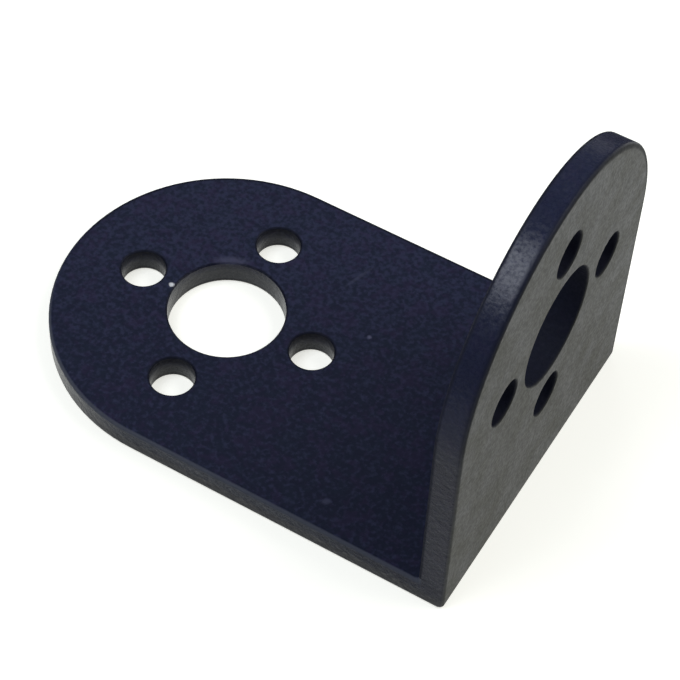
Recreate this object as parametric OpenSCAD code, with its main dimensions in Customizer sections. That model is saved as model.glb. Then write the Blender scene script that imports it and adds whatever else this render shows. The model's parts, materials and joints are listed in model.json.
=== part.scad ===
// L-shaped servo bracket, cut from aluminium angle with a crisp outside corner.
// Millimetres, Z up. The flat leg lies on Z = 0 and the upright stands at the +X end.
// The origin is the centre of the bounding box on the underside.

/* [Angle] */
// Thickness of both legs
leg_thickness = 2; // [1:0.1:3]
// Width of both legs; each leg ends in a half circle of this width
leg_width = 25; // [22:0.5:40]
// Radius of the inside corner
inside_radius = 0.3; // [0.2:0.1:1]
// Radius of the outside corner
corner_radius = 0.5; // [0.45:0.05:0.6]
// Rounding that tumbling and blasting leave on the outline edges
edge_radius = 0.25; // [0.1:0.05:0.45]

/* [Legs] */
// Outer face of the upright to the bore of the flat leg
flat_reach = 24.5; // [20:0.5:60]
// Underside of the flat leg to the bore of the upright
upright_reach = 16.5; // [15:0.5:60]

/* [Holes] */
// Centre bore of each leg
bore_diameter = 8.4; // [4:0.1:10]
// Screw holes around each bore
screw_hole_diameter = 3.2; // [2:0.1:4.5]
// Circle that the screw holes stand on
bolt_circle_diameter = 14; // [13:0.1:17]
// Depth of the broken edge at each hole mouth
mouth_break = 0.1; // [0.05:0.05:0.3]

/* [Hidden] */
$fn = 96;
screw_holes = 4;
corner_block = inside_radius + leg_thickness;
flat_run = flat_reach - corner_block;
upright_run = upright_reach - corner_block;
overall_length = flat_reach + leg_width / 2;
joint_x = overall_length / 2 - corner_block;
inside_depth = 0.8 * leg_thickness;
outside_depth = leg_thickness - 1.25 * edge_radius;
cut_slack = 1;

// Section of a leg: along X the thickness, along Y the width, with rounded edges.
module leg_section() {
    translate([0, edge_radius - leg_width / 2])
        square([leg_thickness, leg_width - 2 * edge_radius]);
    translate([edge_radius, -leg_width / 2])
        square([leg_thickness - 2 * edge_radius, leg_width]);
    for (x = [edge_radius, leg_thickness - edge_radius])
        for (y = [edge_radius - leg_width / 2, leg_width / 2 - edge_radius])
            translate([x, y]) circle(r = edge_radius);
}

// The part of that section within a depth of one face: from X = 0 out to the face at X = depth.
module skin_section(depth) {
    intersection() {
        translate([depth - leg_thickness, 0]) leg_section();
        translate([0, -leg_width / 2 - cut_slack])
            square([depth + cut_slack, leg_width + 2 * cut_slack]);
    }
}

// Half of the leg section, from the bore axis out to the rounded edge.
module half_section() {
    reach = leg_width / 2;
    square([reach - edge_radius, leg_thickness]);
    translate([0, edge_radius])
        square([reach, leg_thickness - 2 * edge_radius]);
    for (y = [edge_radius, leg_thickness - edge_radius])
        translate([reach - edge_radius, y]) circle(r = edge_radius);
}

// One hole with its edge broken at both faces, standing on Z = 0.
module hole(diameter) {
    translate([0, 0, -cut_slack])
        cylinder(d = diameter, h = leg_thickness + 2 * cut_slack);
    translate([0, 0, -cut_slack])
        cylinder(d1 = diameter + 2 * (mouth_break + cut_slack), d2 = diameter,
                 h = mouth_break + cut_slack);
    translate([0, 0, leg_thickness - mouth_break])
        cylinder(d1 = diameter, d2 = diameter + 2 * (mouth_break + cut_slack),
                 h = mouth_break + cut_slack);
}

// Centre bore and the ring of screw holes, two of them on the leg's own line.
module hole_pattern() {
    hole(bore_diameter);
    for (i = [0 : screw_holes - 1])
        rotate([0, 0, i * 360 / screw_holes])
            translate([bolt_circle_diameter / 2, 0, 0])
                hole(screw_hole_diameter);
}

// One leg, lying on Z = 0 and running along -X from the corner to its round end.
module leg(run) {
    translate([-run, 0, 0])
        difference() {
            union() {
                rotate([0, -90, 180])
                    linear_extrude(height = run) leg_section();
                rotate([0, 0, 90])
                    rotate_extrude(angle = 180) half_section();
            }
            hole_pattern();
        }
}

// A section turned a quarter about an axis along Y, from straight down to +X.
module quarter_turn() {
    rotate([90, 0, 0])
        rotate([0, 0, -90])
            rotate_extrude(angle = 90) children();
}

// The block between the legs: the inside corner, the two outer skins and the outside corner.
module corner() {
    straight = corner_block - corner_radius;
    translate([0, 0, corner_block])
        quarter_turn()
            translate([inside_radius + inside_depth, 0]) rotate(180) skin_section(inside_depth);
    translate([0, 0, outside_depth])
        rotate([0, 90, 0])
            linear_extrude(height = straight) skin_section(outside_depth);
    translate([corner_block - outside_depth, 0, corner_radius])
        linear_extrude(height = straight) skin_section(outside_depth);
    translate([straight, 0, corner_radius])
        quarter_turn() skin_section(corner_radius);
}

module bracket() {
    color([0.018, 0.022, 0.036])
        translate([joint_x, 0, 0])
            union() {
                leg(flat_run);
                corner();
                translate([inside_radius, 0, corner_block])
                    rotate([0, 90, 0]) leg(upright_run);
            }
}

bracket();
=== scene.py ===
# %% [markdown]
# # L-shaped servo bracket
#
# The bracket looks like a short length of aluminium angle, cut to two round-ended legs,
# drilled, tumbled, blasted to a fine matt grain and dyed blue-black. The solid from the
# CAD file already has the outline, the corner, the holes and the rounded edges. So this
# lesson keeps that solid and spends its effort on the finish, the light and the camera.

import json
import math

import bmesh
import bpy
from mathutils import Matrix, Vector


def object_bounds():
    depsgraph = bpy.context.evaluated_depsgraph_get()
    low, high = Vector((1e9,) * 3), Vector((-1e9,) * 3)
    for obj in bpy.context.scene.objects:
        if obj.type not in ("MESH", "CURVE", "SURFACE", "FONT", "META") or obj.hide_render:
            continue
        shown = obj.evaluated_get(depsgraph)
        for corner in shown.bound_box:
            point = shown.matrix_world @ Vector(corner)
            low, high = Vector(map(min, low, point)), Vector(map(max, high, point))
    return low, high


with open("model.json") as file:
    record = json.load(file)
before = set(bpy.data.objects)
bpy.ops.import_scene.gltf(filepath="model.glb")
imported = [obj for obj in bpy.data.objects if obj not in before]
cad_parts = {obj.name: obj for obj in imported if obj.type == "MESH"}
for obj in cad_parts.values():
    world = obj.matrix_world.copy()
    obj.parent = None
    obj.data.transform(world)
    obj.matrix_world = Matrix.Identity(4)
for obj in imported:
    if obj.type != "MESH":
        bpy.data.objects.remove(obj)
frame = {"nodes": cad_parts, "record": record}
cad_low, cad_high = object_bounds()
MM = 1000.0  # millimetres in a metre
bracket = frame["nodes"]["bracket"]
print("bracket box in mm:", [round(MM * v, 2) for v in cad_high - cad_low])
print("triangles in the solid:", len(bracket.data.polygons))

# %% [markdown]
# ## Sizes that the finish needs
#
# Wear sits on edges and around holes, so the material has to know where they are. The
# sizes could be typed in again here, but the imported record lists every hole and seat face
# of the bracket. Reading them from there keeps the finish in step with the solid.

# %% Read the sizes from the record
mounts = {mount["name"]: mount for mount in frame["record"]["mounts"]}
thickness = mounts["top_of_flat_leg"]["pos_m"][2] - mounts["underside"]["pos_m"][2]
half_width = (cad_high.y - cad_low.y) / 2
outside_x = cad_high.x
flat_bore_x = mounts["flat_bore"]["pos_m"][0]
upright_bore_z = mounts["upright_bore"]["pos_m"][2]
bore_radius = mounts["flat_bore"]["dims"]["r_mm"] / MM
screw_radius = mounts["flat_screws"]["dims"]["hole_r_mm"] / MM
ring_radius = mounts["flat_screws"]["dims"]["pcd_mm"] / 2 / MM
print("thickness", thickness, "bore", bore_radius, "screw", screw_radius, "ring", ring_radius)

# %% [markdown]
# ## Small helpers for shader nodes
#
# A procedural finish is a chain of small nodes. Adding each one by hand takes three
# or four lines, so these helpers add a node, connect what is given and hand back the
# output socket. A value may be a plain number or the output of another node.


# %% Helpers for sums
def connect(tree, socket, value):
    """Set a socket to a number or colour, or link another node's output to it."""
    if isinstance(value, bpy.types.NodeSocket):
        tree.links.new(value, socket)
    else:
        socket.default_value = value


def calc(tree, operation, *values):
    """One Math node."""
    node = tree.nodes.new("ShaderNodeMath")
    node.operation = operation
    for socket, value in zip(node.inputs, values):
        connect(tree, socket, value)
    return node.outputs[0]


def product(tree, first, *others):
    """The given masks or values multiplied together. A plain number is a strength."""
    for other in others:
        first = calc(tree, "MULTIPLY", first, other)
    return first


def ramp(tree, value, low, high, to_low=0.0, to_high=1.0):
    """A smooth step: to_low where the value is low, to_high where it is high.

    The number for low may be the larger one. The step then falls as the value grows.
    """
    node = tree.nodes.new("ShaderNodeMapRange")
    node.interpolation_type = "SMOOTHSTEP"
    for name, given in (
        ("Value", value),
        ("From Min", low),
        ("From Max", high),
        ("To Min", to_low),
        ("To Max", to_high),
    ):
        connect(tree, node.inputs[name], given)
    return node.outputs["Result"]


print("helpers for sums are ready")


# %% Helpers for positions and colours
def split_axes(tree, vector):
    """The X, Y and Z of a vector."""
    node = tree.nodes.new("ShaderNodeSeparateXYZ")
    connect(tree, node.inputs[0], vector)
    return node.outputs


def length_of(tree, first, second, third):
    """Length of the vector with these three parts."""
    joined = tree.nodes.new("ShaderNodeCombineXYZ")
    for socket, value in zip(joined.inputs, (first, second, third)):
        connect(tree, socket, value)
    node = tree.nodes.new("ShaderNodeVectorMath")
    node.operation = "LENGTH"
    connect(tree, node.inputs[0], joined.outputs[0])
    return node.outputs["Value"]


def paint_over(tree, under, mask, colour):
    """The colour under, painted over with another one where the mask is 1."""
    node = tree.nodes.new("ShaderNodeMix")
    node.data_type = "RGBA"
    connect(tree, node.inputs["Factor"], mask)
    connect(tree, node.inputs["A"], under)
    connect(tree, node.inputs["B"], colour)
    return node.outputs["Result"]


print("helpers for positions and colours are ready")


# %% Helpers for node groups
def new_group(name, outputs):
    """An empty shader node group that takes a position, and its two end nodes."""
    group = bpy.data.node_groups.new(name, "ShaderNodeTree")
    group.interface.new_socket("Vector", in_out="INPUT", socket_type="NodeSocketVector")
    for label in outputs:
        group.interface.new_socket(label, in_out="OUTPUT", socket_type="NodeSocketFloat")
    return group, group.nodes.new("NodeGroupInput"), group.nodes.new("NodeGroupOutput")


def use_group(tree, group, vector):
    """Place a group in a material, feed it a position and hand back its outputs."""
    node = tree.nodes.new("ShaderNodeGroup")
    node.node_tree = group
    connect(tree, node.inputs["Vector"], vector)
    return node.outputs


print("helpers for node groups are ready")

# %% [markdown]
# ## Where on the bracket a point lies
#
# This group turns a point of the bracket into what the finish asks for. Through runs
# from 0 on the outer faces to 1 on the inner faces. Outline, Bore and Screw are
# distances in millimetres, along the leg, to the cut outline, to the centre bore and to
# the nearest screw hole. Upright is 1 above the flat leg. Painting a mask by hand or
# storing it on the mesh would also work, but sums on Object coordinates leave the solid
# untouched and stay sharp at any zoom.

# %% Group that finds the edges: depth and outline
finder, finder_in, finder_out = new_group(
    "edge_finder", ["Through", "Outline", "Bore", "Screw", "Upright"]
)
x, y, z = split_axes(finder, finder_in.outputs["Vector"])
depth = calc(finder, "MINIMUM", z, calc(finder, "SUBTRACT", outside_x, x))
connect(finder, finder_out.inputs["Through"], calc(finder, "DIVIDE", depth, thickness))

flat_end = calc(finder, "MAXIMUM", calc(finder, "SUBTRACT", flat_bore_x, x), 0.0)
upright_end = calc(finder, "MAXIMUM", calc(finder, "SUBTRACT", z, upright_bore_z), 0.0)
to_outline = calc(finder, "SUBTRACT", half_width, length_of(finder, flat_end, y, upright_end))
connect(finder, finder_out.inputs["Outline"], calc(finder, "MULTIPLY", to_outline, MM))
print("edge_finder has", len(finder.nodes), "nodes so far")

# %% [markdown]
# Both legs carry the same pattern of holes. So the sums are done once, with along and
# across measured from the bore of the leg that the point is on. The four screw holes
# are one hole folded over the lines of symmetry.

# %% Group that finds the edges: holes
UPRIGHT_FROM = 1.2  # in leg thicknesses above the table
on_upright = calc(finder, "GREATER_THAN", z, UPRIGHT_FROM * thickness)
connect(finder, finder_out.inputs["Upright"], on_upright)
along_flat = calc(finder, "SUBTRACT", x, flat_bore_x)
along_upright = calc(finder, "SUBTRACT", z, upright_bore_z)
change = calc(finder, "SUBTRACT", along_upright, along_flat)
along = calc(finder, "ABSOLUTE", calc(finder, "MULTIPLY_ADD", change, on_upright, along_flat))
across = calc(finder, "ABSOLUTE", y)
to_bore = calc(finder, "SUBTRACT", length_of(finder, along, across, 0.0), bore_radius)
past_ring = calc(finder, "SUBTRACT", calc(finder, "MAXIMUM", along, across), ring_radius)
beside_ring = calc(finder, "MINIMUM", along, across)
to_screw = calc(finder, "SUBTRACT", length_of(finder, past_ring, beside_ring, 0.0), screw_radius)
connect(finder, finder_out.inputs["Bore"], calc(finder, "MULTIPLY", to_bore, MM))
connect(finder, finder_out.inputs["Screw"], calc(finder, "MULTIPLY", to_screw, MM))
print("edge_finder has", len(finder.nodes), "nodes")

# %% [markdown]
# ## Blasted grain
#
# Blasting leaves thousands of tiny dents, about a quarter of a millimetre across, and
# the dye takes a little unevenly, in blotches, in patches and in clouds of two or three
# millimetres. A picture of a blasted surface would bring seams and a fixed sharpness, so
# each size is a layer of noise. The layers are put out one by one, so that colour,
# roughness and bump can each take the ones that they need.

# %% Group for the blasted grain
# Each layer has a name, a scale in features per metre, and octaves of finer detail.
NOISE_LAYERS = (
    ("Grain", 4400.0, 2.0),
    ("Blotch", 2900.0, 2.0),
    ("Patch", 1800.0, 1.0),
    ("Cloud", 420.0, 2.0),
)
NOISE_ROUGHNESS = 0.55
labels = [label for label, scale, detail in NOISE_LAYERS]
blast, blast_in, blast_out = new_group("blasted_grain", labels)
for label, scale, detail in NOISE_LAYERS:
    layer = blast.nodes.new("ShaderNodeTexNoise")
    connect(blast, layer.inputs["Vector"], blast_in.outputs["Vector"])
    layer.inputs["Scale"].default_value = scale
    layer.inputs["Detail"].default_value = detail
    layer.inputs["Roughness"].default_value = NOISE_ROUGHNESS
    connect(blast, blast_out.inputs[label], layer.outputs["Fac"])
print("blasted_grain has", len(blast.nodes), "nodes")

# %% [markdown]
# ## The finish, step by step
#
# The whole bracket has one finish, so it has one material on one Principled shader. The
# next cells build up its colour like coats of paint, each laid over the one before by a
# mask. This first cell places the two groups and gives their outputs short names.

# %% Start the material
finish = bpy.data.materials.new("blue_black_anodised_aluminium")
finish.use_nodes = True
tree = finish.node_tree
shader = tree.nodes["Principled BSDF"]
here = tree.nodes.new("ShaderNodeTexCoord").outputs["Object"]
at_x, at_y, at_z = split_axes(tree, here)
through, outline_mm, bore_mm, screw_mm, upright = use_group(tree, finder, here)
grain, blotch, patch, cloud = use_group(tree, blast, here)
on_flat = calc(tree, "SUBTRACT", 1.0, upright)
print("the finish starts with", len(tree.nodes), "nodes")

# %% [markdown]
# ## Dyed colour
#
# The dye is a blue so deep that it looks black from a step away. Close up it changes
# between a deep and a paler navy, with a little purple and teal in places. Towards the
# near corner of the bend it is darker: painted shade for the upright's soft shadow on the
# flat leg. One flat colour would look like plastic here, so layers of noise choose between
# four close colours.

# %% Dyed colour
DEEP_NAVY = (0.0055, 0.0078, 0.0230, 1)
PALE_NAVY = (0.0185, 0.0215, 0.0510, 1)
BEND_LEAN = -0.5  # how much X counts beside Y on the way to the near corner
BEND_SHADE_SPAN = (-0.012, 0.014)
DEEP_TO_PALE = (0.33, 0.67)
# Painted shade: the dye is darkened towards the near corner of the bend, where the upright
# shades the flat leg.
slope = calc(tree, "MULTIPLY_ADD", at_x, BEND_LEAN, at_y)
bend_shade = ramp(tree, slope, *BEND_SHADE_SPAN, to_low=-0.10, to_high=0.0)
uneven = ramp(tree, calc(tree, "ADD", blotch, bend_shade), *DEEP_TO_PALE)
colour = paint_over(tree, DEEP_NAVY, uneven, PALE_NAVY)
print("dyed colour made from two navies")

# %% Purple and teal in the dye
PURPLE_NAVY = (0.0185, 0.0115, 0.0400, 1)
TEAL_NAVY = (0.0065, 0.0150, 0.0300, 1)
PURPLE_TINT = (1.00, 1.24)
TEAL_TINT = (1.00, 0.76)
tint = calc(tree, "ADD", patch, cloud)
purple = ramp(tree, tint, *PURPLE_TINT, to_high=0.38)
colour = paint_over(tree, colour, purple, PURPLE_NAVY)
teal = ramp(tree, tint, *TEAL_TINT, to_high=0.22)
colour = paint_over(tree, colour, teal, TEAL_NAVY)
print("a little purple and teal added")

# %% [markdown]
# ## Rubbed outer faces
#
# In the photograph the upright's outer face is a neutral grey with hardly any blue, as
# if it had been rubbed on benches and other parts. A second material would end in a hard
# border at the edges, so a mask blends the two colours instead. It is full on the two
# outer faces, and the cloud layer keeps the rubbing from being even.

# %% Rubbed outer faces
RUBBED = (0.0210, 0.0220, 0.0160, 1)
OUTER_SKIN = (0.12, 0.02)  # share of the thickness
NOISE_MIDDLE = (0.30, 0.70)  # where most values of a noise layer lie
outer_skin = ramp(tree, through, *OUTER_SKIN)
rubbed = product(tree, outer_skin, ramp(tree, cloud, *NOISE_MIDDLE, to_low=0.7))
colour = paint_over(tree, colour, rubbed, RUBBED)
print("rubbed colour laid on the outer faces")

# %% [markdown]
# ## Cut walls of the outline
#
# The narrow wall around the outline is a cut face, and the dye looks different on it. It
# is grey low down and turns navy up on the round end of the upright. On the flat leg
# the wall's upper half is worn to a lighter grey. Its lower half is darker: painted shade,
# as the table it mirrors close to its foot lies in shadow. The wall's triangles could be
# given a material of their own, but the distance to the outline finds the wall just as
# well, and it fades softly over the rounded edges.

# %% Cut walls of the outline
CUT_GREY = (0.0090, 0.0098, 0.0120, 1)
WALL_NAVY = (0.0175, 0.0205, 0.0450, 1)
WALL_MM = (0.14, 0.03)
GREY_TO_NAVY_Z = (0.015, 0.020)
outline_wall = ramp(tree, outline_mm, *WALL_MM)
wall_colour = paint_over(tree, CUT_GREY, ramp(tree, at_z, *GREY_TO_NAVY_Z), WALL_NAVY)
colour = paint_over(tree, colour, product(tree, outline_wall, 0.6), wall_colour)
print("cut walls coloured")

# %% Worn upper half, and painted shade on the lower half, of the cut walls
WORN = (0.0390, 0.0430, 0.0530, 1)
DARK = (0.0022, 0.0032, 0.0095, 1)
UPPER_HALF = (0.28, 0.68)  # share of the thickness
LOWER_HALF = (0.62, 0.30)
CLEAR_OF_BEND_X = (0.014, 0.006)
worn_half = product(
    tree,
    outline_wall,
    ramp(tree, through, *UPPER_HALF),
    ramp(tree, blotch, *NOISE_MIDDLE, to_low=0.4),
    ramp(tree, at_x, *CLEAR_OF_BEND_X),
)
colour = paint_over(tree, colour, worn_half, WORN)
# Painted shade: the lower half of the wall on the flat leg is darkened.
shaded_lower_half = product(tree, outline_wall, ramp(tree, through, *LOWER_HALF), on_flat, 0.6)
colour = paint_over(tree, colour, shaded_lower_half, DARK)
print("cut walls split in two halves")

# %% [markdown]
# ## Rounded edges
#
# Tumbling rounds the edges by a quarter of a millimetre, and the rounding shows as thin
# lines of light and shade: dark around the upright's outer face, dark along the far edge
# of the flat leg and on the upright's inner edge, and light along the near edge. The
# rounding is real shape in the solid. The lines are stronger in the photograph than this
# light makes them, so the material paints them in: painted shade for the dark lines and
# a painted highlight for the light one.

# %% Painted shade on the rounded edges of the outer faces
OUTER_ROUNDING_MM = (0.32, 0.10)
FAR_EDGE_MM = (0.45, 0.25)
OUTER_SIDE = (0.24, 0.06)  # share of the thickness
ROUND_END_Z = (0.013, 0.019)
FAR_SIDE_Y = (0.0, 0.006)
outer_side = ramp(tree, through, *OUTER_SIDE)
outer_rounding = product(
    tree,
    ramp(tree, outline_mm, *OUTER_ROUNDING_MM),
    outer_side,
    ramp(tree, at_z, *ROUND_END_Z, to_low=0.25),
)
far_edge = product(
    tree,
    ramp(tree, outline_mm, *FAR_EDGE_MM),
    outer_side,
    ramp(tree, at_y, *FAR_SIDE_Y),
)
outer_rounding = calc(tree, "MAXIMUM", outer_rounding, far_edge)
# Painted shade: a dark line on the rounded edges around the outer faces and along the far edge
# of the flat leg.
colour = paint_over(tree, colour, product(tree, outer_rounding, 0.6), DARK)
print("dark line laid around the outer faces")

# %% Painted shade on the rounded edges of the inner faces
INNER_ROUNDING_MM = (0.42, 0.22)
INNER_SIDE = (0.82, 0.92)  # share of the thickness
NEAR_TO_FAR_Y = (-0.003, 0.004)
inner_side = ramp(tree, through, *INNER_SIDE)
inner_rounding = product(tree, ramp(tree, outline_mm, *INNER_ROUNDING_MM), inner_side)
far_part = ramp(tree, at_y, *NEAR_TO_FAR_Y, to_high=0.75)
far_part = calc(tree, "MAXIMUM", far_part, product(tree, upright, 0.6))
inner_edge_shade = product(tree, inner_rounding, far_part)
# Painted shade: a dark line on the far edge of the flat leg and on the upright's inner edge.
colour = paint_over(tree, colour, inner_edge_shade, DARK)
print("dark lines laid along the inner faces")

# %% Painted highlight on the rounded near edge of the flat leg
NEAR_HIGHLIGHT = (0.0650, 0.0710, 0.0930, 1)
NEAR_HIGHLIGHT_MM = (0.26, 0.10)
NEAR_SIDE_Y = (-0.001, -0.008)
near_highlight = product(
    tree,
    ramp(tree, outline_mm, *NEAR_HIGHLIGHT_MM),
    inner_side,
    ramp(tree, at_y, *NEAR_SIDE_Y, to_high=0.8),
    on_flat,
)
# Painted highlight: a light line on the rounded near edge of the flat leg.
colour = paint_over(tree, colour, near_highlight, NEAR_HIGHLIGHT)
print("light line laid along the near edge")

# %% [markdown]
# ## Walls of the holes
#
# In the photograph the walls of the upright's holes are almost black. On the flat leg
# the lower part of each hole wall is pale and the upper part is darker, with a dark line
# at each mouth. The light of this scene alone gives less contrast than that. More lamps
# would change the tones of the faces too, so the material paints it in: painted shade on
# the dark walls and at the mouths, and painted light on the pale lower walls, standing in
# for light from the white table.

# %% Painted shade on the hole walls
HOLE_WALL_MM = (0.08, 0.02)
SCREW_DARKENS = (0.35, 0.90)  # share of the thickness
bore_wall = ramp(tree, bore_mm, *HOLE_WALL_MM)
screw_wall = ramp(tree, screw_mm, *HOLE_WALL_MM)
hole_wall = calc(tree, "MAXIMUM", bore_wall, screw_wall)
upper_screw = product(tree, screw_wall, ramp(tree, through, *SCREW_DARKENS, to_high=0.85))
shadowed = calc(tree, "MAXIMUM", product(tree, hole_wall, upright), upper_screw)
# Painted shade: the upright's hole walls and the upper part of the screw-hole walls are
# darkened.
colour = paint_over(tree, colour, product(tree, shadowed, 0.85), DARK)
print("dark parts of the hole walls coloured")

# %% Painted light on the lower hole walls
TABLE_LIGHT_GREY = (0.0750, 0.0770, 0.0780, 1)
SCREW_PALE_TOP = 0.70  # share of the thickness, as the next two are
BORE_PALE_MORE = 0.25
PALE_FADE = 0.40
pale_top = calc(tree, "MULTIPLY_ADD", bore_wall, BORE_PALE_MORE, SCREW_PALE_TOP)
table_light = ramp(tree, through, pale_top, calc(tree, "SUBTRACT", pale_top, PALE_FADE))
table_light = product(tree, table_light, hole_wall, on_flat, 0.8)
# Painted light: the lower part of the hole walls on the flat leg is pale, standing in for light
# from the white table.
colour = paint_over(tree, colour, table_light, TABLE_LIGHT_GREY)
print("pale parts of the hole walls coloured")

# %% Painted shade at the mouths of the holes
MOUTH_MM = (0.20, 0.08)
LOW_RIM = (0.22, 0.10)  # share of the thickness
HIGH_RIM = (0.84, 0.95)
at_mouth = ramp(tree, calc(tree, "MINIMUM", bore_mm, screw_mm), *MOUTH_MM)
low_rim = ramp(tree, through, *LOW_RIM)
high_rim = ramp(tree, through, *HIGH_RIM, to_high=0.8)
rim = product(tree, at_mouth, calc(tree, "MAXIMUM", low_rim, high_rim), on_flat, 0.85)
# Painted shade: a dark line at the mouths of the holes on the flat leg.
colour = paint_over(tree, colour, rim, DARK)
print("mouths lined")

# %% [markdown]
# ## Chip, bruises and a painted highlight
#
# One tiny chip beside the bore shows bare metal. A few soft bruises on the flat leg are
# only a little lighter than the dye: two small ones and a faint scratch. A lighter patch
# along the far rim of the bore is a painted highlight, where the rounded rim catches the
# light. Each is an oval placed where the photograph shows it. The Mapping node moves,
# turns and scales the position so that the oval becomes a ball of radius 1. The grain is
# added to the distance, so that the edge comes out ragged.


# %% Bruises, and a painted highlight on the rim of the bore
RAGGED = 0.6  # how much of the grain is added to the distance
EDGE = 1.2  # distance, with the grain added, at which the mask is one half


def ragged_oval(x_mm, y_mm, length, width, turn, softness):
    """A mask that is 1 in a small oval on top of the flat leg, with a soft, ragged edge.

    The place and the half length and width are in millimetres, the turn in degrees.
    """
    placed = tree.nodes.new("ShaderNodeMapping")
    placed.vector_type = "TEXTURE"
    connect(tree, placed.inputs["Vector"], here)
    placed.inputs["Location"].default_value = (x_mm / MM, y_mm / MM, thickness)
    placed.inputs["Rotation"].default_value = (0.0, 0.0, math.radians(turn))
    placed.inputs["Scale"].default_value = (length / MM, width / MM, width / MM)
    away = length_of(tree, *split_axes(tree, placed.outputs["Vector"]))
    away = calc(tree, "MULTIPLY_ADD", grain, RAGGED, away)
    return ramp(tree, away, EDGE + softness, EDGE - softness)


BRUISE_AND_HIGHLIGHT = (0.0720, 0.0740, 0.1250, 1)
small = ragged_oval(3.79, 3.18, length=0.16, width=0.16, turn=0.0, softness=0.6)
faint = ragged_oval(8.31, -10.33, length=0.32, width=0.22, turn=30.0, softness=0.6)
scratch = ragged_oval(0.42, 7.50, length=1.25, width=0.14, turn=73.0, softness=0.6)
# Painted highlight: a lighter patch along the far rim of the bore.
rim_highlight = ragged_oval(-8.08, 3.88, length=1.10, width=0.42, turn=28.0, softness=0.5)
rim_highlight = product(tree, rim_highlight, inner_side)
for spot, strength in ((small, 1.0), (faint, 0.40), (scratch, 0.25), (rim_highlight, 0.45)):
    colour = paint_over(tree, colour, product(tree, spot, strength), BRUISE_AND_HIGHLIGHT)
print("three bruises and a scratch placed")

# %% Chip
BARE = (0.80, 0.81, 0.83, 1)
chip = ragged_oval(-10.50, -0.20, length=0.19, width=0.19, turn=0.0, softness=0.4)
colour = paint_over(tree, colour, chip, BARE)
connect(tree, shader.inputs["Base Color"], colour)
connect(tree, shader.inputs["Metallic"], chip)
print("one chip placed")

# %% [markdown]
# ## Polish on the round end
#
# The wall over the upright's round end catches a lamp in a lively, slightly broken
# highlight, so it is smoother there than elsewhere. Less roughness alone would do it for
# a bare metal. Here the Coat of the Principled shader adds the shine without changing the
# colour under it, and the grain breaks it up.

# %% Polish on the round end
POLISH_BEGINS_Z = (0.0225, 0.0262)
POLISH_ENDS_Z = (0.0290, 0.0283)
CLEAR_OF_OUTER_EDGE = (0.10, 0.28)  # share of the thickness
BROKEN_BY_GRAIN = (0.27, 0.73)
polish = product(
    tree,
    outline_wall,
    ramp(tree, at_z, *POLISH_BEGINS_Z),
    ramp(tree, at_z, *POLISH_ENDS_Z),
    ramp(tree, through, *CLEAR_OF_OUTER_EDGE),
    ramp(tree, grain, *BROKEN_BY_GRAIN, to_low=0.04, to_high=0.54),
)
connect(tree, shader.inputs["Coat Weight"], polish)
shader.inputs["Coat Roughness"].default_value = 0.30
shader.inputs["Coat IOR"].default_value = 1.5
print("coat laid on the round end")

# %% [markdown]
# ## Roughness
#
# A blasted surface scatters light, so its highlights are broad. The cut walls are
# smoother. The rounded edges and the dark hole walls are rougher, which keeps thin
# bright lines off them. One number for the whole part would lose these differences, so
# each mask adds its own amount. Specular is low all over: the sealed dye reflects little.

# %% Roughness
NOISE_RANGE = (0.25, 0.75)  # nearly all values of a noise layer lie here
cut = calc(tree, "MAXIMUM", outline_wall, hole_wall)
rough = ramp(tree, grain, *NOISE_RANGE, to_low=0.40, to_high=0.54)
for mask, amount in (
    (cut, -0.19),
    (outer_rounding, 0.20),
    (inner_rounding, calc(tree, "MULTIPLY_ADD", upright, 0.15, 0.30)),
    (shadowed, 0.45),
    (outer_skin, ramp(tree, cloud, *NOISE_RANGE, to_low=-0.04, to_high=0.04)),
):
    rough = calc(tree, "MULTIPLY_ADD", mask, amount, rough)
connect(tree, shader.inputs["Roughness"], rough)
shader.inputs["Specular IOR Level"].default_value = 0.15
print("roughness set from the grain and five masks")

# %% [markdown]
# ## Dents
#
# The dents of the blasting are only hundredths of a millimetre deep. Modelling them
# would take millions of triangles, so they are bump: the shader tilts its normal as if
# they were there. The outer faces are rubbed flatter, so their dents are weaker.

# %% Dents
GRAIN_HEIGHT = 0.25
PATCH_HEIGHT = 1.2
BLOTCH_HEIGHT = 0.6
BLOTCH_MORE_ON_CUTS = 0.5
OUTER_DENTS = 0.22  # height of the dents on the outer faces, as a share of the others
height = product(tree, grain, GRAIN_HEIGHT)
height = calc(tree, "MULTIPLY_ADD", patch, PATCH_HEIGHT, height)
blotch_height = calc(tree, "MULTIPLY_ADD", cut, BLOTCH_MORE_ON_CUTS, BLOTCH_HEIGHT)
height = calc(tree, "MULTIPLY_ADD", blotch, blotch_height, height)
flatter = ramp(tree, outer_skin, 0.0, 1.0, to_low=1.0, to_high=OUTER_DENTS)
height = product(tree, height, flatter)
print("height of the dents made from three layers")

# %% Bump, and the finish laid on the bracket
dents = tree.nodes.new("ShaderNodeBump")
dents.inputs["Strength"].default_value = 0.45
dents.inputs["Distance"].default_value = 0.00006
connect(tree, dents.inputs["Height"], height)
connect(tree, shader.inputs["Normal"], dents.outputs["Normal"])
bracket.data.materials.clear()
bracket.data.materials.append(finish)
print("the finish has", len(tree.nodes), "nodes")

# %% [markdown]
# ## White table
#
# The photograph's background is pure white. Stronger lamps would make a table white, but
# they would bleach the bracket too. So the table is a wide sheet with a pale colour that
# also glows for rays from the camera and from shiny surfaces. Its own colour still takes
# light and shadow, so the bracket stands on it with a soft shadow.


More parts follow.
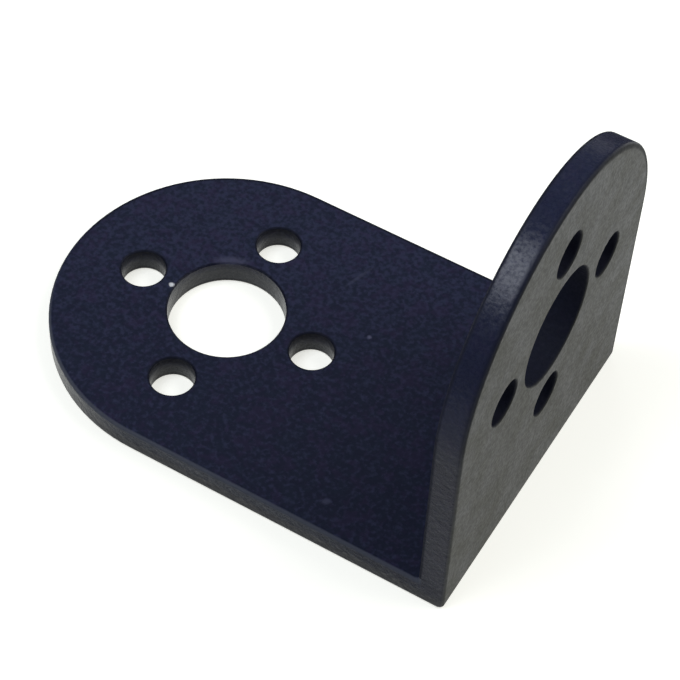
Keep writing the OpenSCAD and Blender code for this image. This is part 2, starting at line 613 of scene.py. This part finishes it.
# %% Helper for flat sheets
def flat_sheet(name, width, length, centre):
    """A flat rectangle facing up."""
    mesh = bpy.data.meshes.new(name)
    shape = bmesh.new()
    bmesh.ops.create_grid(shape, x_segments=1, y_segments=1, size=0.5)
    bmesh.ops.scale(shape, vec=(width, length, 1.0), verts=shape.verts)
    bmesh.ops.translate(shape, vec=centre, verts=shape.verts)
    shape.to_mesh(mesh)
    shape.free()
    sheet = bpy.data.objects.new(name, mesh)
    bpy.context.scene.collection.objects.link(sheet)
    return sheet


print("sheet helper is ready")

# %% White table
GLOW = 0.62  # with the light that falls on the table, this comes out near white
floor = flat_sheet("floor", width=6.0, length=6.0, centre=(0.0, 0.0, 0.0))
table = bpy.data.materials.new("white_table")
table.use_nodes = True
table_tree = table.node_tree
table_tree.nodes.clear()
paint = table_tree.nodes.new("ShaderNodeBsdfDiffuse")
paint.inputs["Color"].default_value = (0.66, 0.66, 0.625, 1)
rays = table_tree.nodes.new("ShaderNodeLightPath").outputs
seen = calc(table_tree, "MAXIMUM", rays["Is Camera Ray"], rays["Is Glossy Ray"])
seen = calc(table_tree, "MAXIMUM", seen, rays["Is Transmission Ray"])
glow = table_tree.nodes.new("ShaderNodeEmission")
glow.inputs["Color"].default_value = (1.0, 1.0, 0.94, 1)
connect(table_tree, glow.inputs["Strength"], product(table_tree, seen, GLOW))
together = table_tree.nodes.new("ShaderNodeAddShader")
connect(table_tree, together.inputs[0], paint.outputs[0])
connect(table_tree, together.inputs[1], glow.outputs[0])
surface = table_tree.nodes.new("ShaderNodeOutputMaterial")
connect(table_tree, surface.inputs["Surface"], together.outputs[0])
floor.data.materials.append(table)
print("table laid")

# %% [markdown]
# ## Cards for the reflections
#
# In the photograph the near walls look as if they mirror a table that is white close by
# and dark further out, and the top of the round end as if it mirrors something dark
# behind. A photographer would lay cards around the object, just out of the picture, to
# get that. Here they are two sheets that only reflections can see, so what they add is
# painted reflection: their black parts are painted shade in what the walls mirror, and
# their pale parts glow a little. Each is pale beside the bracket and fades to black: far
# out in front, and close by behind.

# %% Helper for cards
CARD_BLACK = (0.01, 0.01, 0.01, 1)
CARD_WHITE = (0.95, 0.95, 0.95, 1)
CARD_GLOW = 0.12


def card_for_reflections(name, width, length, centre, dark_y, pale_y):
    """A sheet that only reflections can see, dark from one Y on and pale from another."""
    card = flat_sheet(name, width, length, centre)
    card.visible_camera = False
    card.visible_diffuse = False
    card.visible_transmission = False
    card.visible_shadow = False
    material = bpy.data.materials.new(name)
    material.use_nodes = True
    card.data.materials.append(material)
    card_tree = material.node_tree
    card_shader = card_tree.nodes["Principled BSDF"]
    place = split_axes(card_tree, card_tree.nodes.new("ShaderNodeTexCoord").outputs["Object"])
    # Painted reflection: black where the walls should mirror shade, pale with a faint glow
    # beside the bracket.
    pale = ramp(card_tree, place["Y"], dark_y, pale_y)
    grey = paint_over(card_tree, CARD_BLACK, pale, CARD_WHITE)
    connect(card_tree, card_shader.inputs["Base Color"], grey)
    connect(card_tree, card_shader.inputs["Emission Color"], grey)
    card_shader.inputs["Emission Strength"].default_value = CARD_GLOW
    print(name, "laid")


print("card helper is ready")

# %% Lay the cards
card_for_reflections(
    "front_card",
    width=0.50,
    length=0.392,
    centre=(-0.05, -0.2087, 0.0006),
    dark_y=-0.19,
    pale_y=-0.10,
)
card_for_reflections(
    "back_card",
    width=0.40,
    length=0.392,
    centre=(-0.188, 0.2087, 0.0006),
    dark_y=0.045,
    pale_y=0.022,
)

# %% [markdown]
# ## Light
#
# A dim, slightly blue world fills the shadows. A soft lamp at the front gives the
# highlight on the upright's round end. A wide one at the back right lights the flat leg
# past the upright, whose soft shadow makes the leg darker towards the bend. A weak one at
# the far left lends the far end of the flat leg its sheen. Area lamps are used because
# their soft edges look like studio boxes; a sun or a point would give hard shadows.

# %% World
world = bpy.data.worlds.new("studio")
bpy.context.scene.world = world
world.use_nodes = True
sky = world.node_tree.nodes["Background"]
sky.inputs["Color"].default_value = (0.17, 0.18, 0.20, 1)
sky.inputs["Strength"].default_value = 1.0
print("world set")


# %% Lamps
LAMP_AIM = (0.0, 0.0, 0.01)


def soft_lamp(name, direction, distance, size, watts, colour):
    """A square area lamp that looks at the bracket from a direction."""
    data = bpy.data.lights.new(name, "AREA")
    data.size = size
    data.energy = watts
    data.color = colour
    lamp = bpy.data.objects.new(name, data)
    aim = Vector(direction).normalized()
    lamp.location = Vector(LAMP_AIM) + aim * distance
    lamp.rotation_euler = aim.to_track_quat("Z", "Y").to_euler()
    bpy.context.scene.collection.objects.link(lamp)
    print(name, "lamp at", [round(v, 3) for v in lamp.location])


soft_lamp(
    "front",
    direction=(-0.29, -0.308, 0.905),
    distance=0.92,
    size=0.46,
    watts=4.1,
    colour=(0.87, 0.92, 1.0),
)
soft_lamp(
    "back",
    direction=(0.55, 0.45, 0.70),
    distance=0.90,
    size=0.70,
    watts=4.6,
    colour=(1.0, 0.99, 0.96),
)
soft_lamp(
    "far_left",
    direction=(-0.45, 0.65, 0.60),
    distance=0.90,
    size=0.30,
    watts=0.40,
    colour=(0.95, 0.97, 1.0),
)

# %% [markdown]
# ## Camera
#
# The camera was found by fitting the outlines of the ten holes and of the bracket to the
# photograph, which is surer than moving it by eye. It looks down from the front right,
# about fifteen centimetres away, through a long lens, and it leans over by three degrees.
# There is no lens shift, so the bracket stays in the picture when the camera is moved
# around it.

# %% Camera
camera_data = bpy.data.cameras.new("camera")
camera_data.sensor_width = 36.0
camera_data.lens = 123.92
camera = bpy.data.objects.new("camera", camera_data)
bpy.context.scene.collection.objects.link(camera)
azimuth = math.radians(28.011)
elevation = math.radians(51.964)
lean = math.radians(3.301)
distance = 0.155
target = Vector((0.004665, -0.002810, 0.008782))
towards_camera = Vector(
    (
        math.sin(azimuth) * math.cos(elevation),
        -math.cos(azimuth) * math.cos(elevation),
        math.sin(elevation),
    )
)
camera.matrix_world = (
    Matrix.Translation(target + towards_camera * distance)
    @ towards_camera.to_track_quat("Z", "Y").to_matrix().to_4x4()
    @ Matrix.Rotation(lean, 4, "Z")
)
bpy.context.scene.camera = camera
bpy.context.scene.view_settings.view_transform = "Standard"
print("camera at", [round(v, 4) for v in camera.matrix_world.translation])
